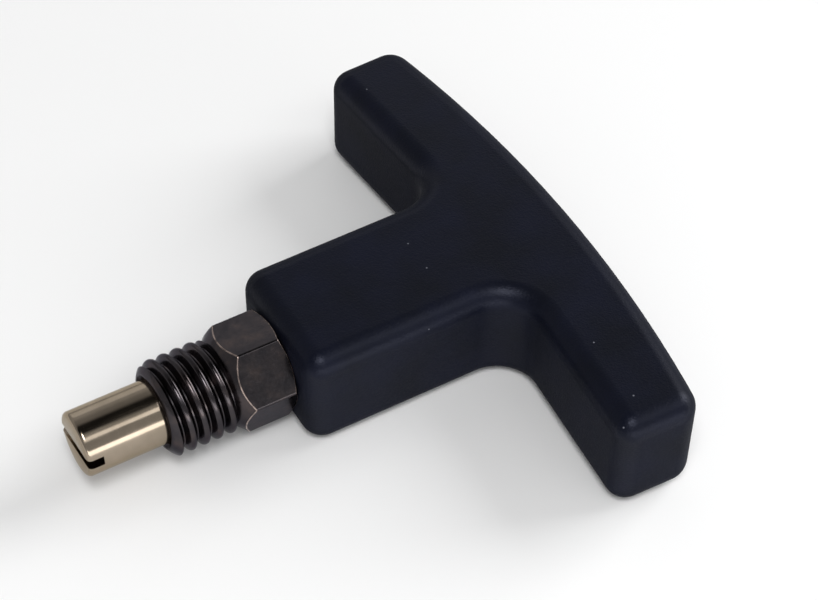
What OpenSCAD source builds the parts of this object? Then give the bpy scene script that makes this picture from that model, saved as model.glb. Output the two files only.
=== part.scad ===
// Spring-loaded lock pin with a T-handle. A hexagon body screws into a frame, a slotted steel pin slides through it,
// a coil spring holds the pin out and the moulded handle pulls it back.
// The pin lies along X with its nose towards -X, and the origin is on its axis where the thread ends.

/* [Thread and hexagon] */
// Outside diameter of the thread
thread_d = 15.875; // [15:0.005:17]
// Distance from one thread crest to the next
thread_pitch = 2.309; // [1.2:0.001:3]
// Length of the thread, from the front of the body to its last crest
thread_len = 10.7; // [8:0.1:24]
// Chamfer on the front of the thread
thread_chamfer = 2.1; // [0.8:0.05:2.15]
// Length from the last crest to the hexagon
neck_len = 2; // [1.6:0.1:4]
// Diameter of the neck between the thread and the hexagon
neck_d = 13.4; // [12.4:0.1:14]
// Hexagon size across its flats
hex_af = 15.875; // [15:0.005:22]
// Length of the hexagon with its chamfers
hex_len = 9.1; // [6:0.1:20]
// Diameter at which the hexagon's chamfers meet its ends
hex_end_d = 15.6; // [14.4:0.1:17]
// Slope of the chamfer at the back of the hexagon
hex_back_slope = 30; // [15:1:45]
// Turn of the hexagon about the axis
hex_turn = 50; // [0:1:60]
// Wall left at the back of the body, which the spring pushes on
rear_wall = 2.3; // [1.5:0.1:4]
// Countersink where the pin comes out of the body
mouth_chamfer = 0.1; // [0.05:0.05:0.5]

/* [Lock pin] */
// Diameter of the nose
nose_d = 10.8; // [8.4:0.1:10.9]
// Length of nose that stands out of the body
nose_reach = 12.95; // [6:0.05:20]
// Length of the guide collar behind the nose
collar_len = 4; // [3:0.1:6]
// Step from the nose up to the guide collar
collar_step = 0.2; // [0.2:0.05:0.4]
// Rounding of the nose's front edge
nose_round = 0.8; // [0.2:0.05:1.5]
// Width of the screwdriver slot across the nose
slot_w = 1.7; // [1:0.1:2.6]
// Depth of the screwdriver slot
slot_depth = 2.6; // [1:0.1:4]
// Turn of the slot about the axis, from the handle's bar
slot_turn = -6; // [-90:1:90]
// Diameter of the shank inside the spring
shank_d = 6.35; // [5:0.05:6.6]
// Diameter of the tail that screws into the handle
tail_d = 5; // [3.5:0.1:5.8]
// Length of the tail
tail_len = 11; // [6:0.5:14]

/* [Spring] */
// Wire thickness
wire_d = 0.8; // [0.5:0.05:1]
// Coil diameter, from wire centre to wire centre
coil_d = 8.55; // [8:0.05:8.8]
// Number of working turns
working_turns = 4; // [2:0.5:6]
// Closed turns at each end
closed_turns = 0.75; // [0.5:0.05:1]

/* [Handle] */
// Length of the T-bar along its inner side
bar_len = 92.9; // [70:0.1:130]
// Depth of the T-bar at its middle
bar_depth = 15.6; // [12:0.1:24]
// Length of the stem, from its front to the T-bar
stem_len = 38.5; // [26:0.5:60]
// Width of the stem at its front
stem_w = 24.7; // [20:0.1:34]
// How much wider the stem is at the T-bar
stem_flare = 0.5; // [0:0.1:4]
// Thickness of the handle
handle_t = 19.5; // [16:0.1:28]
// Radius of the T-bar's curved back
back_r = 232; // [120:1:500]
// Lean of the bar's two arms towards the nose
arm_sweep = 4.4; // [0:0.1:12]
// Lean of the bar's two ends
end_lean = 2.6; // [0:0.1:8]
// Rounding of every outer edge
edge_r = 3.65; // [1:0.05:5]
// Fillet where the stem meets the bar
arm_fillet = 7.1; // [3:0.1:12]
// Outside diameter of the threaded insert
insert_d = 9.5; // [8:0.1:12]
// Length of the threaded insert
insert_len = 14; // [10:0.5:20]
// Depth of the insert below the front of the handle
insert_recess = 0.3; // [0.1:0.05:1]

/* [Fits] */
// Gap all round between the pin and the body
slide_gap = 0.05; // [0.02:0.01:0.1]
// Gap all round between the tail and the insert's hole
tail_gap = 0.03; // [0.01:0.01:0.1]
// Gap left at each end of the spring
spring_gap = 0.05; // [0.02:0.01:0.2]

/* [Hidden] */

body_front = -thread_len;
hex_back = neck_len + hex_len;
nose_tip = body_front - nose_reach;
shoulder_x = body_front + collar_len;
rear_wall_x = hex_back - rear_wall;
insert_x = hex_back + insert_recess;
tail_end = insert_x + tail_len;
tail_chamfer = 0.5;
collar_d = nose_d + 2 * collar_step;
bore_d = collar_d + 2 * slide_gap;
shank_hole_d = shank_d + 2 * slide_gap;
insert_hole_d = tail_d + 2 * tail_gap;
insert_hole_len = tail_len + 1;

// a 60 degree thread: its depth, the slope of its flanks and the flats on its crests and roots
thread_depth = 0.6134 * thread_pitch;
flank_slope = tan(30);
crest_flat = thread_pitch / 8;
root_flat = thread_pitch - crest_flat - 2 * thread_depth * flank_slope;
thread_r = thread_d / 2;
root_r = thread_r - thread_depth;
groove_count = floor((thread_len - thread_chamfer) / thread_pitch) + 1;

hex_corner_r = hex_af / sqrt(3);
hex_cone = hex_corner_r - hex_end_d / 2 + 1;
hex_back_cone = hex_cone * tan(hex_back_slope);

bar_in = hex_back + stem_len;
bar_back = bar_in + bar_depth;
arm_y = bar_len / 2;
arm_x = bar_in - arm_y * tan(arm_sweep);
end_y = arm_y + (bar_back - arm_x) * tan(end_lean);

spring_len = rear_wall_x - shoulder_x - 2 * spring_gap;
spring_turns = working_turns + 2 * closed_turns;
working_len = spring_len - wire_d * (1 + 2 * closed_turns);
wire_sides = 8;
coil_steps = 24;

round_fn = 96;
cut = 1;

// a straight round bar or hole along the axis
module rod(x, length, d) {
  translate([x, 0, 0]) rotate([0, 90, 0]) cylinder(d = d, h = length, $fn = round_fn);
}

// a turned piece, from an outline given as [radius, x]
module turned(outline) {
  rotate([0, 90, 0]) rotate_extrude($fn = round_fn) polygon(outline);
}

// a point at an angle about the axis
function around(angle, x, r) = [x, r * cos(angle), r * sin(angle)];

// a closed solid through a row of rings, each ring clockwise as seen from the next one
module swept(rings) {
  n = len(rings[0]);
  last = len(rings) - 1;
  sides = [
    for (i = [0:last - 1], k = [0:n - 1])
      let (a = i * n + k, b = i * n + (k + 1) % n)
      each [[a, b, b + n], [a, b + n, a + n]]
  ];
  start = [for (k = [n - 1:-1:0]) k];
  end = [for (k = [0:n - 1]) last * n + k];
  polyhedron([for (ring = rings) each ring], concat([start], sides, [end]), convexity = 10);
}

// one groove between two thread crests, centred on x
module thread_groove(x) {
  top_r = thread_r + cut;
  mouth = root_flat / 2 + (top_r - root_r) * flank_slope;
  turned([[root_r, x - root_flat / 2], [root_r, x + root_flat / 2], [top_r, x + mouth], [top_r, x - mouth]]);
}

// the crests stay true cylinders, so the thread is drawn as a row of grooves at its pitch
module thread() {
  difference() {
    turned([
      [0, body_front],
      [thread_r - thread_chamfer, body_front],
      [thread_r, body_front + thread_chamfer],
      [thread_r, 0],
      [neck_d / 2, (thread_r - neck_d / 2) * flank_slope],
      [neck_d / 2, neck_len],
      [0, neck_len]
    ]);
    for (i = [0:groove_count - 1]) thread_groove(-crest_flat / 2 - thread_pitch * (i + 0.5));
  }
}

// a hexagon whose corners are turned off at both ends, at 45 degrees down to the neck at the front
module hexagon() {
  face_r = hex_end_d / 2;
  cone_x = neck_len - (face_r - bore_d / 2);
  intersection() {
    translate([cone_x, 0, 0]) rotate([0, 90, 0]) rotate(hex_turn + 30)
      cylinder(r = hex_corner_r, h = hex_back - cone_x, $fn = 6);
    turned([
      [0, cone_x],
      [bore_d / 2, cone_x],
      [face_r + hex_cone, neck_len + hex_cone],
      [face_r + hex_cone, hex_back - hex_back_cone],
      [face_r, hex_back],
      [0, hex_back]
    ]);
  }
}

module threaded_body() {
  color([0.2, 0.19, 0.19]) difference() {
    union() {
      thread();
      hexagon();
    }
    rod(body_front - cut, rear_wall_x - body_front + cut, bore_d);
    rod(rear_wall_x - cut, rear_wall + 2 * cut, shank_hole_d);
    turned([
      [0, body_front - cut],
      [bore_d / 2 + mouth_chamfer + cut, body_front - cut],
      [bore_d / 2 - cut, body_front + mouth_chamfer + cut],
      [0, body_front + mouth_chamfer + cut]
    ]);
  }
}

module lock_pin() {
  r = nose_d / 2;
  front_edge = [
    for (a = [0:15:90]) [r - nose_round * (1 - sin(a)), nose_tip + nose_round * (1 - cos(a))]
  ];
  color([0.72, 0.69, 0.62]) difference() {
    turned(concat([[0, nose_tip]], front_edge, [
      [r, body_front],
      [collar_d / 2, body_front],
      [collar_d / 2, shoulder_x],
      [shank_d / 2, shoulder_x],
      [shank_d / 2, insert_x],
      [tail_d / 2, insert_x],
      [tail_d / 2, tail_end - tail_chamfer],
      [tail_d / 2 - tail_chamfer, tail_end],
      [0, tail_end]
    ]));
    translate([nose_tip - cut, 0, 0]) rotate([slot_turn, 0, 0])
      translate([0, -nose_d, -slot_w / 2]) cube([slot_depth + cut, 2 * nose_d, slot_w]);
  }
}

// how far along the spring its wire has come after a number of turns
function coil_x(t) =
  t < closed_turns ? t * wire_d
  : t < closed_turns + working_turns ? closed_turns * wire_d + (t - closed_turns) * working_len / working_turns
  : spring_len - wire_d - (spring_turns - t) * wire_d;

module spring() {
  first_x = shoulder_x + spring_gap + wire_d / 2;
  color([0.55, 0.55, 0.56]) swept([
    for (i = [0:spring_turns * coil_steps])
      let (t = i / coil_steps)
      [
        for (k = [0:wire_sides - 1])
          let (a = -360 * k / wire_sides)
          around(360 * t, first_x + coil_x(t) + wire_d / 2 * cos(a), coil_d / 2 + wire_d / 2 * sin(a))
      ]
  ]);
}

module handle_insert() {
  color([0.72, 0.58, 0.3]) difference() {
    rod(insert_x, insert_len, insert_d);
    rod(insert_x - cut, insert_hole_len + cut, insert_hole_d);
  }
}

// the T seen from above: a stem that widens a little and a bar with leaning arms and a curved back
module handle_outline() {
  root_w = stem_w + stem_flare;
  root_x = bar_in + bar_depth / 2;
  polygon([
    [hex_back, -stem_w / 2], [bar_in, -root_w / 2], [root_x, -root_w / 2],
    [root_x, root_w / 2], [bar_in, root_w / 2], [hex_back, stem_w / 2]
  ]);
  intersection() {
    translate([bar_back - back_r, 0]) circle(r = back_r, $fn = 300);
    polygon([[bar_in, 0], [arm_x, arm_y], [bar_back, end_y], [bar_back, -end_y], [arm_x, -arm_y]]);
  }
}

module t_handle() {
  color([0.08, 0.085, 0.11]) difference() {
    minkowski() {
      translate([0, 0, edge_r - handle_t / 2]) linear_extrude(handle_t - 2 * edge_r)
        offset(r = -arm_fillet - edge_r, $fn = 64) offset(delta = arm_fillet) handle_outline();
      sphere(r = edge_r, $fn = 30);
    }
    rod(hex_back - cut, insert_recess + insert_len + cut, insert_d);
  }
}

threaded_body();
lock_pin();
spring();
handle_insert();
t_handle();
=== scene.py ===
import math

import bmesh
import bpy
from mathutils import Matrix, Vector


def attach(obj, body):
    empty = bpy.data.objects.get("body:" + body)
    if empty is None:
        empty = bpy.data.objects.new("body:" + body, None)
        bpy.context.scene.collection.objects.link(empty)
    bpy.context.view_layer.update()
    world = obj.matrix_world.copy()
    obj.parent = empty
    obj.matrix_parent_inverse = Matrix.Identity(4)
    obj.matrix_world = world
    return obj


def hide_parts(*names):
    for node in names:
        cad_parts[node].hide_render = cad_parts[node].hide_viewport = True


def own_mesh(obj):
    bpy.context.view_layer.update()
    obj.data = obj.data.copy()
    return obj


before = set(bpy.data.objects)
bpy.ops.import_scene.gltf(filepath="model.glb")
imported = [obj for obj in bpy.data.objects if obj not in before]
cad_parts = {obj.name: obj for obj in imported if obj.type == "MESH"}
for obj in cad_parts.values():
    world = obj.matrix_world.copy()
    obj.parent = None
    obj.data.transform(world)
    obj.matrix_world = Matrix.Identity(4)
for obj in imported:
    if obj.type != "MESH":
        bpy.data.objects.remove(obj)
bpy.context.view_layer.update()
print("frame loaded:", ", ".join(sorted(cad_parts)))

mm = 0.001
fullTurn = 2 * math.pi
xAxis = (1, 0, 0)
# a shape made along Z comes to lie along X
axisTurn = Matrix(((0, 0, 1, 0), (1, 0, 0, 0), (0, 1, 0, 0), (0, 0, 0, 1)))


def linearColour(hexText):
    # from an sRGB hex value
    parts = [int(hexText[i:i + 2], 16) / 255 for i in (1, 3, 5)]
    return [c / 12.92 if c <= 0.04045 else ((c + 0.055) / 1.055) ** 2.4 for c in parts] + [1]


def addNode(tree, kind, settings=None, inputs=None):
    node = tree.nodes.new(kind)
    for name, value in (settings or {}).items():
        setattr(node, name, value)
    for name, value in (inputs or {}).items():
        if isinstance(value, bpy.types.NodeSocket):
            tree.links.new(value, node.inputs[name])
        else:
            node.inputs[name].default_value = value
    return node


def newMaterial(name):
    material = bpy.data.materials.new(name)
    material.use_nodes = True
    material.node_tree.nodes.clear()
    return material, material.node_tree


def setStops(ramp, stops):
    # each stop is a place from 0 to 1 and a colour
    points = ramp.color_ramp.elements
    while len(points) < len(stops):
        points.new(0.5)  # moved to its place below
    for point, (place, colour) in zip(points, stops):
        point.position = place
        point.color = colour


# materials

noiseSpan = {"From Min": 0.3, "From Max": 0.7}  # most values of a noise lie between these
mixFirst, mixSecond, mixResult = 6, 7, 2  # the colour sockets of a Mix node


def mouldedPlastic():
    # glass-filled nylon, moulded in a finely etched tool: near black and satin,
    # with a soft grain and a few pale nicks
    material, tree = newMaterial("mouldedNylon")
    place = addNode(tree, "ShaderNodeTexCoord").outputs["Object"]
    cloud = addNode(tree, "ShaderNodeTexNoise", None, {
        "Vector": place, "Scale": 1 / (9 * mm), "Detail": 3})  # 9 mm clouds
    tone = addNode(tree, "ShaderNodeValToRGB", None, {"Fac": cloud.outputs["Fac"]})
    setStops(tone, [(0.3, linearColour("#05070f")), (0.7, linearColour("#090c1a"))])
    # nicks 0.2 to 0.35 mm across, in seven of ten cells of 5 mm
    nick = addNode(tree, "ShaderNodeTexVoronoi", None, {"Vector": place, "Scale": 1 / (5 * mm)})
    nickSize = addNode(tree, "ShaderNodeMapRange", None, {
        "Value": nick.outputs["Distance"], "From Min": 0.02, "From Max": 0.035, "To Min": 1, "To Max": 0})
    nickPick = addNode(tree, "ShaderNodeSeparateColor", None, {"Color": nick.outputs["Color"]})
    nickSome = addNode(tree, "ShaderNodeMath", {"operation": "GREATER_THAN"}, {0: nickPick.outputs[0], 1: 0.3})
    nickMask = addNode(tree, "ShaderNodeMath", {"operation": "MULTIPLY"}, {
        0: nickSize.outputs[0], 1: nickSome.outputs[0]})
    colour = addNode(tree, "ShaderNodeMix", {"data_type": "RGBA"}, {
        "Factor": nickMask.outputs[0], mixFirst: tone.outputs["Color"], mixSecond: linearColour("#6d6f78")})
    # the etched grain, drawn at 0.3 mm so that it shows
    grain = addNode(tree, "ShaderNodeTexNoise", None, {
        "Vector": place, "Scale": 1 / (0.3 * mm), "Detail": 2, "Roughness": 0.5})
    bump = addNode(tree, "ShaderNodeBump", None, {
        "Strength": 0.6, "Distance": 0.08 * mm, "Height": grain.outputs["Fac"]})
    satin = addNode(tree, "ShaderNodeMapRange", None, {
        "Value": grain.outputs["Fac"], **noiseSpan, "To Min": 0.33, "To Max": 0.42})
    # less gloss at a slant, so the floor doesn't mirror in the sides
    slant = addNode(tree, "ShaderNodeLayerWeight", None, {"Blend": 0.5})
    dull = addNode(tree, "ShaderNodeMapRange", None, {
        "Value": slant.outputs["Facing"], "From Min": 0.28, "From Max": 0.5, "To Min": 0, "To Max": 0.4})
    rough = addNode(tree, "ShaderNodeMath", {"operation": "ADD"}, {0: satin.outputs[0], 1: dull.outputs[0]})
    shader = addNode(tree, "ShaderNodeBsdfPrincipled", None, {
        "Base Color": colour.outputs[mixResult], "Roughness": rough.outputs[0], "Normal": bump.outputs[0],
        "IOR": 1.5, "Specular IOR Level": 0.21, "Specular Tint": linearColour("#dfe4ff")})
    addNode(tree, "ShaderNodeOutputMaterial", None, {"Surface": shader.outputs[0]})
    return material


def blackOxideSteel():
    # turned steel in an oiled black oxide: dark and neutral, with brown stains, fine grit and a broken sheen
    material, tree = newMaterial("blackOxideSteel")
    place = addNode(tree, "ShaderNodeTexCoord").outputs["Object"]
    cloud = addNode(tree, "ShaderNodeTexNoise", None, {
        "Vector": place, "Scale": 1 / (3 * mm), "Detail": 4, "Roughness": 0.6})  # 3 mm stains
    grit = addNode(tree, "ShaderNodeTexNoise", None, {
        "Vector": place, "Scale": 1 / (0.5 * mm), "Detail": 3})  # drawn at 0.5 mm so that it shows
    tone = addNode(tree, "ShaderNodeValToRGB", None, {"Fac": cloud.outputs["Fac"]})
    setStops(tone, [
        (0.32, linearColour("#3b393c")), (0.52, linearColour("#454143")), (0.72, linearColour("#524a49"))])
    rough = addNode(tree, "ShaderNodeMapRange", None, {
        "Value": grit.outputs["Fac"], **noiseSpan, "To Min": 0.16, "To Max": 0.27})
    bump = addNode(tree, "ShaderNodeBump", None, {
        "Strength": 0.1, "Distance": 0.04 * mm, "Height": grit.outputs["Fac"]})
    shader = addNode(tree, "ShaderNodeBsdfPrincipled", None, {
        "Base Color": tone.outputs["Color"], "Metallic": 1, "Roughness": rough.outputs[0],
        "Normal": bump.outputs[0], "Specular Tint": linearColour("#c0c0c4")})
    addNode(tree, "ShaderNodeOutputMaterial", None, {"Surface": shader.outputs[0]})
    return material


def wornSteel():
    # the same steel where handling has rubbed the oxide off the edges: a paler, warm grey
    material, tree = newMaterial("wornEdgeSteel")
    place = addNode(tree, "ShaderNodeTexCoord").outputs["Object"]
    wear = addNode(tree, "ShaderNodeTexNoise", None, {
        "Vector": place, "Scale": 1 / (1 * mm), "Detail": 4})  # 1 mm patches
    tone = addNode(tree, "ShaderNodeValToRGB", None, {"Fac": wear.outputs["Fac"]})
    setStops(tone, [(0.35, linearColour("#665c59")), (0.65, linearColour("#b8a59c"))])
    rough = addNode(tree, "ShaderNodeMapRange", None, {
        "Value": wear.outputs["Fac"], "To Min": 0.35, "To Max": 0.25})
    shader = addNode(tree, "ShaderNodeBsdfPrincipled", None, {
        "Base Color": tone.outputs["Color"], "Metallic": 1, "Roughness": rough.outputs[0]})
    addNode(tree, "ShaderNodeOutputMaterial", None, {"Surface": shader.outputs[0]})
    return material


def platedSteel():
    # ground steel with a bright nickel plate: warm grey, mirror-like, with faint rub marks along the stroke
    material, tree = newMaterial("nickelPlatedSteel")
    place = addNode(tree, "ShaderNodeTexCoord").outputs["Object"]
    stretch = addNode(tree, "ShaderNodeMapping", None, {
        "Vector": place, "Scale": (0.08, 1, 1)})  # marks run along the pin
    rub = addNode(tree, "ShaderNodeTexNoise", None, {
        "Vector": stretch.outputs[0], "Scale": 1 / (0.6 * mm), "Detail": 4})  # 0.6 mm apart
    cloud = addNode(tree, "ShaderNodeTexNoise", None, {
        "Vector": place, "Scale": 1 / (4 * mm), "Detail": 3})  # 4 mm clouds
    tone = addNode(tree, "ShaderNodeValToRGB", None, {"Fac": cloud.outputs["Fac"]})
    setStops(tone, [(0.35, linearColour("#978b7b")), (0.65, linearColour("#a19484"))])
    rough = addNode(tree, "ShaderNodeMapRange", None, {
        "Value": rub.outputs["Fac"], **noiseSpan, "To Min": 0.11, "To Max": 0.19})
    bump = addNode(tree, "ShaderNodeBump", None, {
        "Strength": 0.05, "Distance": 0.02 * mm, "Height": rub.outputs["Fac"]})
    shader = addNode(tree, "ShaderNodeBsdfPrincipled", None, {
        "Base Color": tone.outputs["Color"], "Metallic": 1, "Roughness": rough.outputs[0],
        "Normal": bump.outputs[0], "Specular Tint": linearColour("#dcd6cc")})
    addNode(tree, "ShaderNodeOutputMaterial", None, {"Surface": shader.outputs[0]})
    return material


def springWire():
    # hard-drawn spring wire: grey, with darker drawing soap left in patches
    material, tree = newMaterial("drawnSpringWire")
    place = addNode(tree, "ShaderNodeTexCoord").outputs["Object"]
    soap = addNode(tree, "ShaderNodeTexNoise", None, {
        "Vector": place, "Scale": 1 / (1.5 * mm), "Detail": 4})  # 1.5 mm patches
    tone = addNode(tree, "ShaderNodeValToRGB", None, {"Fac": soap.outputs["Fac"]})
    setStops(tone, [(0.35, linearColour("#77777a")), (0.7, linearColour("#a3a3a6"))])
    rough = addNode(tree, "ShaderNodeMapRange", None, {
        "Value": soap.outputs["Fac"], "To Min": 0.45, "To Max": 0.25})
    shader = addNode(tree, "ShaderNodeBsdfPrincipled", None, {
        "Base Color": tone.outputs["Color"], "Metallic": 1, "Roughness": rough.outputs[0]})
    addNode(tree, "ShaderNodeOutputMaterial", None, {"Surface": shader.outputs[0]})
    return material


def turnedBrass():
    # free-cutting brass, turned: yellow, with rings left by the tool
    material, tree = newMaterial("turnedBrass")
    place = addNode(tree, "ShaderNodeTexCoord").outputs["Object"]
    # a feed of 0.3 mm; a wave at scale 1 repeats every fullTurn / 20
    rings = addNode(tree, "ShaderNodeTexWave", {"bands_direction": "X"}, {
        "Vector": place, "Scale": fullTurn / (20 * 0.3 * mm), "Distortion": 1.5, "Detail": 2})
    tone = addNode(tree, "ShaderNodeValToRGB", None, {"Fac": rings.outputs["Fac"]})
    setStops(tone, [(0.2, linearColour("#b8954a")), (0.8, linearColour("#d0ae62"))])
    rough = addNode(tree, "ShaderNodeMapRange", None, {
        "Value": rings.outputs["Fac"], "To Min": 0.24, "To Max": 0.36})
    shader = addNode(tree, "ShaderNodeBsdfPrincipled", None, {
        "Base Color": tone.outputs["Color"], "Metallic": 1, "Roughness": rough.outputs[0]})
    addNode(tree, "ShaderNodeOutputMaterial", None, {"Surface": shader.outputs[0]})
    return material


# tools for the pieces, which are drawn in millimetres

mergeDistance = 0.0005  # points closer than this become one


def chain(bm, points):
    verts = [bm.verts.new(p) for p in points]
    return verts, [bm.edges.new(pair) for pair in zip(verts, verts[1:])]


def vertsIn(geom):
    return [part for part in geom if isinstance(part, bmesh.types.BMVert)]


def arcPoints(centre, radius, start, end, count):
    # points (x, 0, r) of an arc in the plane of a turned outline, angles from +X
    angles = [math.radians(start + (end - start) * i / count) for i in range(count + 1)]
    return [(centre[0] + radius * math.cos(a), 0, centre[1] + radius * math.sin(a)) for a in angles]


def turn(outline, steps):
    # an outline of (x, 0, r) points, spun about the pin's axis
    bm = bmesh.new()
    verts, edges = chain(bm, outline)
    bmesh.ops.spin(bm, geom=verts + edges, cent=(0, 0, 0), axis=xAxis,
                   angle=fullTurn, steps=steps, use_merge=True)
    bmesh.ops.remove_doubles(bm, verts=bm.verts, dist=mergeDistance)
    bmesh.ops.recalc_face_normals(bm, faces=bm.faces)
    return bm


def extrudeFace(bm, vec):
    grown = bmesh.ops.extrude_face_region(bm, geom=bm.faces[:])
    bmesh.ops.translate(bm, vec=vec, verts=vertsIn(grown["geom"]))
    bmesh.ops.recalc_face_normals(bm, faces=bm.faces)


def foldAngle(edge):
    return math.degrees(edge.calc_face_angle(0))


def roundEdges(bm, edges, reach, segments, clamp=False):
    return bmesh.ops.bevel(bm, geom=edges, offset=reach, offset_type="OFFSET", segments=segments, profile=0.5,
                           affect="EDGES", material=-1, clamp_overlap=clamp)


def meshOf(bm, name):
    mesh = bpy.data.meshes.new(name)
    bm.to_mesh(mesh)
    bm.free()
    return mesh


def combine(first, second, operation):
    # both bmeshes are used up
    base = bpy.data.objects.new("baseShape", meshOf(first, "baseShape"))
    tool = bpy.data.objects.new("toolShape", meshOf(second, "toolShape"))
    for thing in (base, tool):
        bpy.context.scene.collection.objects.link(thing)
    cut = base.modifiers.new("cut", "BOOLEAN")
    cut.operation, cut.object, cut.solver = operation, tool, "EXACT"
    result = bmesh.new()
    result.from_mesh(base.evaluated_get(bpy.context.evaluated_depsgraph_get()).to_mesh())
    for thing in (base, tool):
        bpy.data.objects.remove(thing)
    bmesh.ops.remove_doubles(result, verts=result.verts, dist=mergeDistance)
    bmesh.ops.dissolve_degenerate(result, edges=result.edges, dist=mergeDistance)
    return result


def finishPiece(bm, name, materials, body, node, sharpAngle=32):
    bmesh.ops.scale(bm, vec=(mm, mm, mm), verts=bm.verts)
    for face in bm.faces:
        face.smooth = True
    for edge in bm.edges:
        edge.smooth = foldAngle(edge) < sharpAngle
    mesh = meshOf(bm, name)
    for material in materials:
        mesh.materials.append(material)
    piece = bpy.data.objects.new(name, mesh)
    bpy.context.scene.collection.objects.link(piece)
    even = piece.modifiers.new("evenShading", "WEIGHTED_NORMAL")
    even.keep_sharp = True
    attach(piece, body)
    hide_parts(node)
    print(name, "made,", len(mesh.polygons), "faces")
    return piece


# the moulded handle

handleSizes = {
    "front": 11.12, "barIn": 49.6, "barBack": 65.18,  # along X: the stem's front, the bar's two sides
    "stemWidth": 24.66, "rootWidth": 25.16, "barLength": 92.84, "thickness": 19.45,
    "backRadius": 232, "armSweep": 4.4, "endLean": 2.6,  # the last two in degrees
    "rootRound": 7.1, "edgeRound": 3.65, "edgeFold": 30,  # edges that fold by more degrees are rounded
    "holeWidth": 9.5, "holeDepth": 14.3,
}


def makeHandle(s):
    stemY, armY = s["stemWidth"] / 2, s["barLength"] / 2
    stemLength = s["barIn"] - s["front"]
    sweep, lean = math.tan(math.radians(s["armSweep"])), math.tan(math.radians(s["endLean"]))
    armX = s["barIn"] - armY * sweep
    flare = (s["rootWidth"] - s["stemWidth"]) / 2 / stemLength
    rootY = (stemY + flare * stemLength) / (1 + flare * sweep)
    rootX = s["barIn"] - rootY * sweep
    arcX = s["barBack"] - s["backRadius"]
    # the end's line runs back from the arm's inner corner until it meets the curved back
    a, b = 1 + lean ** 2, armX - arcX + armY * lean
    c = (armX - arcX) ** 2 + armY ** 2 - s["backRadius"] ** 2
    run = (-b + math.sqrt(b * b - a * c)) / a
    endX, endY = armX + run, armY + run * lean
    low = -s["thickness"] / 2
    bm = bmesh.new()
    back = bm.verts.new((endX, endY, low))
    bmesh.ops.spin(bm, geom=[back], cent=(arcX, 0, low), axis=(0, 0, -1),
                   angle=2 * math.atan2(endY, endX - arcX), steps=18)
    far = min(bm.verts, key=lambda v: v.co.y)
    rest, _ = chain(bm, [
        (armX, -armY, low), (rootX, -rootY, low), (s["front"], -stemY, low),
        (s["front"], stemY, low), (rootX, rootY, low), (armX, armY, low)])
    bm.edges.new((far, rest[0]))
    bm.edges.new((rest[-1], back))
    bmesh.ops.contextual_create(bm, geom=bm.edges[:])
    extrudeFace(bm, (0, 0, s["thickness"]))
    roots = [e for e in bm.edges if foldAngle(e) > s["edgeFold"] and not e.is_convex]
    roundEdges(bm, roots, s["rootRound"], 16)
    rims = [e for e in bm.edges if foldAngle(e) > s["edgeFold"] and e.is_convex]
    roundEdges(bm, rims, s["edgeRound"], 12)
    hole = bmesh.new()
    holeRadius = s["holeWidth"] / 2
    bmesh.ops.create_cone(hole, cap_ends=True, segments=64, radius1=holeRadius, radius2=holeRadius,
                          depth=2 * s["holeDepth"], matrix=Matrix.Translation((s["front"], 0, 0)) @ axisTurn)
    return combine(bm, hole, "DIFFERENCE")


# the threaded body

bodySizes = {
    "threadRadius": 7.92, "pitch": 2.309, "flankLean": 30,  # each flank leans 30 degrees
    "crestFlat": 0.7, "crestRound": 0.55, "rootFlat": 0.2,
    "crestX": -7.94, "crestPhase": 38,  # one crest's place, and its angle about the axis in degrees
    "threadTurns": 7, "leadTurns": 3, "stepsPerTurn": 96,  # three of the turns start ahead of that crest
    "front": -10.2, "frontRadius": 6.48, "frontBulge": 0.2,
    "runoutStart": 0.21, "runoutEnd": 1.26, "neckRadius": 6.9, "neckEnd": 4,
    "flats": 15.86, "hexTurn": 50, "hexFront": 2.0, "hexBack": 11.09,
    "hexEnd": 7.8, "backChamfer": 30,  # radius of the end faces, and the rear chamfer in degrees
    "cornerRound": 0.5, "edgeBreak": 0.12, "wornFold": 22,  # edges that fold by more degrees are rubbed bright
    "bore": 5.65, "mouthChamfer": 0.5, "wallX": 8.8, "shankHole": 3.225,
    # how far shapes reach past what is kept of them
    "barSpare": 3, "blankSpare": 0.5, "coneSpare": 0.3, "toolSpare": 1,
}


def makeHexagon(s):
    halfSide = 30  # degrees from the middle of a flat to its corner
    corner = s["flats"] / math.sqrt(3)
    bm = bmesh.new()
    bmesh.ops.create_circle(bm, cap_ends=True, segments=6, radius=corner,
                            matrix=axisTurn @ Matrix.Rotation(math.radians(s["hexTurn"] - halfSide), 4, "Z"))
    bmesh.ops.translate(bm, vec=(-s["barSpare"], 0, 0), verts=bm.verts)
    extrudeFace(bm, (s["hexBack"] + 2 * s["barSpare"], 0, 0))
    barEdges = [e for e in bm.edges if abs(e.verts[0].co.x - e.verts[1].co.x) > s["barSpare"]]
    reach = s["cornerRound"] * math.tan(math.radians(halfSide))  # from the corner to where its rounding starts
    roundEdges(bm, barEdges, reach, 5)
    # both ends are turned: a 45 degree cone in front, a chamfer behind
    inner = s["bore"] + s["coneSpare"]
    coneX = s["hexFront"] - (s["hexEnd"] - inner)
    past = corner + s["toolSpare"] - s["hexEnd"]
    outer = s["hexEnd"] + past
    blank = turn([
        (coneX, 0, 0), (coneX, 0, inner), (s["hexFront"] + past, 0, outer),
        (s["hexBack"] - past * math.tan(math.radians(s["backChamfer"])), 0, outer),
        (s["hexBack"], 0, s["hexEnd"]), (s["hexBack"], 0, 0)], steps=144)
    bm = combine(bm, blank, "INTERSECT")
    rims = [e for e in bm.edges if foldAngle(e) > s["wornFold"]]
    worn = roundEdges(bm, rims, s["edgeBreak"], 3)
    for face in worn["faces"]:
        face.material_index = 1  # the rubbed steel
    return bm


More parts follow.
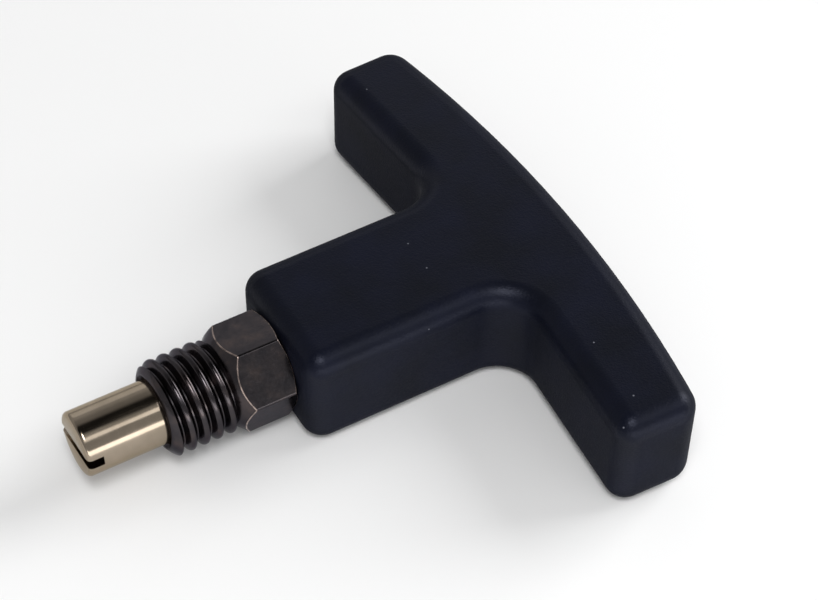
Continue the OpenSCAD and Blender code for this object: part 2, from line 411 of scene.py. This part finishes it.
def makeThread(s):
    turns, around = s["threadTurns"], s["stepsPerTurn"]
    top, pitch, curve = s["threadRadius"], s["pitch"], s["crestRound"]
    half, root = s["crestFlat"] / 2, pitch / 2 - s["rootFlat"] / 2
    slope = math.tan(math.radians(s["flankLean"]))
    start = s["crestX"] - pitch * s["crestPhase"] / 360 - s["leadTurns"] * pitch
    crest = arcPoints((half - curve * slope, top - curve), curve, 90, s["flankLean"], 4)
    flank = [(x, r) for x, _, r in crest] + [(root, top - (root - half) / slope)]
    groove = [(0, top)] + flank + [(pitch - x, r) for x, r in reversed(flank)] + [(pitch, top)]
    bm = bmesh.new()
    verts, edges = chain(bm, [(start + x, r, 0) for x, r in groove])
    bmesh.ops.spin(bm, geom=verts + edges, cent=(0, 0, 0), axis=xAxis, dvec=(pitch / around, 0, 0),
                   angle=fullTurn * turns, steps=turns * around)
    bmesh.ops.remove_doubles(bm, verts=bm.verts, dist=mergeDistance)
    middle = start + pitch * (turns + 1) / 2
    for side in (-1, 1):  # each open end closes on a point of the axis
        rim = [e for e in bm.edges if e.is_boundary and (e.verts[0].co.x - middle) * side > 0]
        tip = vertsIn(bmesh.ops.extrude_edge_only(bm, edges=rim)["geom"])
        bmesh.ops.pointmerge(bm, verts=tip, merge_co=(sum(v.co.x for v in tip) / len(tip), 0, 0))
    bmesh.ops.recalc_face_normals(bm, faces=bm.faces)
    # the blank: a front chamfer of 45 degrees that bulges a little, and the run-out to the neck
    full = top + s["blankSpare"]
    run, bulge = full - s["frontRadius"], s["frontBulge"]
    lip = run * run / 4 / bulge + bulge / 2  # radius of the bulge, a flat arc over the chamfer
    deep = (lip - bulge) / math.sqrt(2)
    spread = math.degrees(math.asin(run / math.sqrt(2) / lip))
    outward = 135  # degrees from +X, square to the chamfer
    lipCentre = (s["front"] + run / 2 + deep, full - run / 2 - deep)
    blank = turn([(s["front"], 0, 0)] + arcPoints(lipCentre, lip, outward + spread, outward - spread, 8) + [
        (s["runoutStart"], 0, full), (s["runoutEnd"], 0, s["neckRadius"]),
        (s["neckEnd"], 0, s["neckRadius"]), (s["neckEnd"], 0, 0)], steps=96)
    return combine(bm, blank, "INTERSECT")


def makeBody(s):
    bm = combine(makeHexagon(s), makeThread(s), "UNION")
    ahead, behind = s["front"] - s["toolSpare"], s["hexBack"] + s["toolSpare"]
    mouth = s["bore"] + s["mouthChamfer"] + s["toolSpare"]
    bore = turn([
        (ahead, 0, 0), (ahead, 0, mouth), (s["front"] + s["mouthChamfer"], 0, s["bore"]),
        (s["wallX"], 0, s["bore"]), (s["wallX"], 0, s["shankHole"]),
        (behind, 0, s["shankHole"]), (behind, 0, 0)], steps=96)
    return combine(bm, bore, "DIFFERENCE")


# the pin

pinSizes = {
    "tip": -23.65, "radius": 5.395, "noseRound": 0.8,
    "collarX": -9.44, "collarRadius": 5.595, "shoulder": -6.7, "shankRadius": 3.17,
    "step": 11.4, "tailRadius": 2.5, "tailEnd": 22.4, "tailChamfer": 0.5,
    "slotWidth": 1.7, "slotDepth": 2.6, "slotTurn": -6,
    "slotBreak": 0.1, "breakFold": 55,  # the slot's edges that fold by more degrees are broken
}


def makePin(s):
    r, curve = s["radius"], s["noseRound"]
    bm = turn([(s["tip"], 0, 0)] + arcPoints((s["tip"] + curve, r - curve), curve, 180, 90, 8) + [
        (s["collarX"], 0, r), (s["collarX"], 0, s["collarRadius"]), (s["shoulder"], 0, s["collarRadius"]),
        (s["shoulder"], 0, s["shankRadius"]), (s["step"], 0, s["shankRadius"]), (s["step"], 0, s["tailRadius"]),
        (s["tailEnd"] - s["tailChamfer"], 0, s["tailRadius"]),
        (s["tailEnd"], 0, s["tailRadius"] - s["tailChamfer"]), (s["tailEnd"], 0, 0)], steps=160)
    slot = bmesh.new()
    place = Matrix.Translation((s["tip"], 0, 0)) @ Matrix.Rotation(math.radians(s["slotTurn"]), 4, "X")
    size = Matrix.Diagonal((2 * s["slotDepth"], 4 * r, s["slotWidth"], 1))
    bmesh.ops.create_cube(slot, size=1, matrix=place @ size)
    bm = combine(bm, slot, "DIFFERENCE")
    slotEnd = s["tip"] + s["slotDepth"] + s["slotBreak"]
    nose = [e for e in bm.edges if max(v.co.x for v in e.verts) < slotEnd]
    rims = [e for e in nose if foldAngle(e) > s["breakFold"] and e.is_convex]
    roundEdges(bm, rims, s["slotBreak"], 3, clamp=True)
    return bm


# the spring

springSizes = {
    "start": -6.65, "length": 15.4, "wire": 0.8, "coilRadius": 4.275,
    "workingTurns": 4, "closedTurns": 0.75, "stepsPerTurn": 48,
}


def makeSpring(s):
    around, wire = s["stepsPerTurn"], s["wire"]
    working = s["length"] - wire * (1 + 2 * s["closedTurns"])
    closed = (s["closedTurns"], wire)
    bm = bmesh.new()
    # the wire starts as a disc in the XY plane
    bmesh.ops.create_circle(bm, cap_ends=True, segments=14, radius=wire / 2)
    bmesh.ops.translate(bm, vec=(s["start"] + wire / 2, s["coilRadius"], 0), verts=bm.verts)
    end = bm.faces[:]
    for turns, rise in (closed, (s["workingTurns"], working / s["workingTurns"]), closed):
        grown = bmesh.ops.spin(bm, geom=end, cent=(0, 0, 0), axis=xAxis, dvec=(rise / around, 0, 0),
                               angle=fullTurn * turns, steps=round(turns * around))
        end = [f for f in grown["geom_last"] if isinstance(f, bmesh.types.BMFace)]
    bmesh.ops.remove_doubles(bm, verts=bm.verts, dist=mergeDistance)
    bmesh.ops.recalc_face_normals(bm, faces=bm.faces)
    return bm


finishPiece(makeHandle(handleSizes), "mouldedHandle", [mouldedPlastic()],
            "plunger", "t_handle")
finishPiece(makeBody(bodySizes), "threadedBarrel", [blackOxideSteel(), wornSteel()],
            "barrel", "threaded_body")
finishPiece(makePin(pinSizes), "slottedPin", [platedSteel()],
            "plunger", "lock_pin")
spring = finishPiece(makeSpring(springSizes), "coilSpring", [springWire()],
                     "coil", "spring")
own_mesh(spring)

# the insert keeps its CAD solid and gets its metal
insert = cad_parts["handle_insert"]
insert.data.materials.clear()
insert.data.materials.append(turnedBrass())

# the camera, from the photograph's outline

cameraView = {
    "target": (0.035978, 0.001006, 0), "distance": 0.365878,
    "azimuth": -30.9376, "elevation": 48.0371, "roll": 0.967,
    "pictureWidth": 818, "focal": 2240.7, "offset": (-2.628, -1.272),  # in pixels
    "sensor": 36, "near": 0.01, "far": 50,
}


def makeCamera(c):
    a, e, roll = (math.radians(c[k]) for k in ("azimuth", "elevation", "roll"))
    back = Vector((math.sin(a) * math.cos(e), -math.cos(a) * math.cos(e), math.sin(e)))
    side = Vector((math.cos(a), math.sin(a), 0))
    up = back.cross(side)
    right = side * math.cos(roll) + up * math.sin(roll)
    top = up * math.cos(roll) - side * math.sin(roll)
    data = bpy.data.cameras.new("photoCamera")
    data.sensor_width = c["sensor"]
    data.lens = c["focal"] * c["sensor"] / c["pictureWidth"]
    data.shift_x, data.shift_y = -c["offset"][0] / c["pictureWidth"], c["offset"][1] / c["pictureWidth"]
    data.clip_start, data.clip_end = c["near"], c["far"]
    camera = bpy.data.objects.new("photoCamera", data)
    bpy.context.scene.collection.objects.link(camera)
    spot = Vector(c["target"]) + back * c["distance"]
    camera.matrix_world = Matrix.Translation(spot) @ Matrix((right, top, back)).transposed().to_4x4()
    bpy.context.scene.camera = camera


# floor and light

floorSizes = {"middle": (0.03, 0, -0.00975), "width": 8}


def makeFloor(s):
    bm = bmesh.new()
    bmesh.ops.create_grid(bm, x_segments=1, y_segments=1, size=s["width"] / 2,
                          matrix=Matrix.Translation(s["middle"]))
    floor = bpy.data.objects.new("floor", meshOf(bm, "floor"))
    bpy.context.scene.collection.objects.link(floor)
    material, tree = newMaterial("whitePaper")  # matte white paper, which takes a soft shadow
    paper = addNode(tree, "ShaderNodeBsdfDiffuse", None, {"Color": linearColour("#f4f4f4")})
    addNode(tree, "ShaderNodeOutputMaterial", None, {"Surface": paper.outputs[0]})
    floor.data.materials.append(material)


lampAim = Vector((0.01, 0, 0))
lamps = {
    "lowFront": {"towards": (-0.1, -0.985, 0.12), "distance": 0.6, "wide": 0.9, "high": 0.17, "watts": 1.5},
    "highFront": {"towards": (0, -0.573, 0.82), "distance": 0.9, "wide": 1.3, "high": 0.19, "watts": 1.16},
    "rearSoft": {"towards": (0.35, 0.85, 0.35), "distance": 0.9, "wide": 0.9, "high": 0.4, "watts": 0.45},
    "endSoft": {"towards": (0.86, -0.05, 0.5), "distance": 1.1, "wide": 0.7, "high": 0.7, "watts": 8.3},
    "keyFront": {"towards": (-0.2, -0.37, 0.907), "distance": 0.8, "wide": 0.26, "high": 0.24, "watts": 2.6},
}


def makeLamps(lampSet):
    for name, s in lampSet.items():
        data = bpy.data.lights.new(name, "AREA")
        data.shape, data.size, data.size_y, data.energy = "RECTANGLE", s["wide"], s["high"], s["watts"]
        lamp = bpy.data.objects.new(name, data)
        bpy.context.scene.collection.objects.link(lamp)
        away = Vector(s["towards"]).normalized()
        facing = away.to_track_quat("Z", "Y").to_matrix().to_4x4()
        lamp.matrix_world = Matrix.Translation(lampAim + away * s["distance"]) @ facing


# a soft studio: pale behind and in front, dark straight above, and plain towards both ends of the pin
studio = {
    # degrees about the pin's axis, from behind over the top to the front, and the level there
    "bands": (
        (0, 0.45), (43, 0.45), (52, 0.3), (66, 0.24), (76, 0.01), (102, 0.01),
        (111, 0.42), (118, 0.46), (138, 0.42), (155, 0.46), (180, 0.5)),
    "endStart": 0.75, "endFull": 0.9, "endLevel": 0.42,  # how far along X the plain part starts and is full
}


def makeWorld(s):
    world = bpy.data.worlds.new("studio")
    bpy.context.scene.world = world
    world.use_nodes = True
    tree = world.node_tree
    tree.nodes.clear()
    place = addNode(tree, "ShaderNodeTexCoord").outputs["Generated"]
    parts = addNode(tree, "ShaderNodeSeparateXYZ", None, {"Vector": place})
    angle = addNode(tree, "ShaderNodeMath", {"operation": "ARCTAN2"}, {
        0: parts.outputs["Z"], 1: parts.outputs["Y"]})
    share = addNode(tree, "ShaderNodeMapRange", None, {
        "Value": angle.outputs[0], "From Min": 0, "From Max": math.pi})
    ramp = addNode(tree, "ShaderNodeValToRGB", None, {"Fac": share.outputs[0]})
    setStops(ramp, [(degrees / 180, (level, level, level, 1)) for degrees, level in s["bands"]])
    endward = addNode(tree, "ShaderNodeMath", {"operation": "ABSOLUTE"}, {0: parts.outputs["X"]})
    plain = addNode(tree, "ShaderNodeMapRange", None, {
        "Value": endward.outputs[0], "From Min": s["endStart"], "From Max": s["endFull"]})
    sky = addNode(tree, "ShaderNodeMix", {"data_type": "RGBA"}, {
        "Factor": plain.outputs[0], mixFirst: ramp.outputs["Color"], mixSecond: [s["endLevel"]] * 3 + [1]})
    glow = addNode(tree, "ShaderNodeBackground", None, {"Color": sky.outputs[mixResult], "Strength": 1})
    addNode(tree, "ShaderNodeOutputWorld", None, {"Surface": glow.outputs[0]})


makeCamera(cameraView)
makeFloor(floorSizes)
makeLamps(lamps)
makeWorld(studio)
bpy.context.scene.view_settings.view_transform = "Standard"
print("camera, floor and light set")
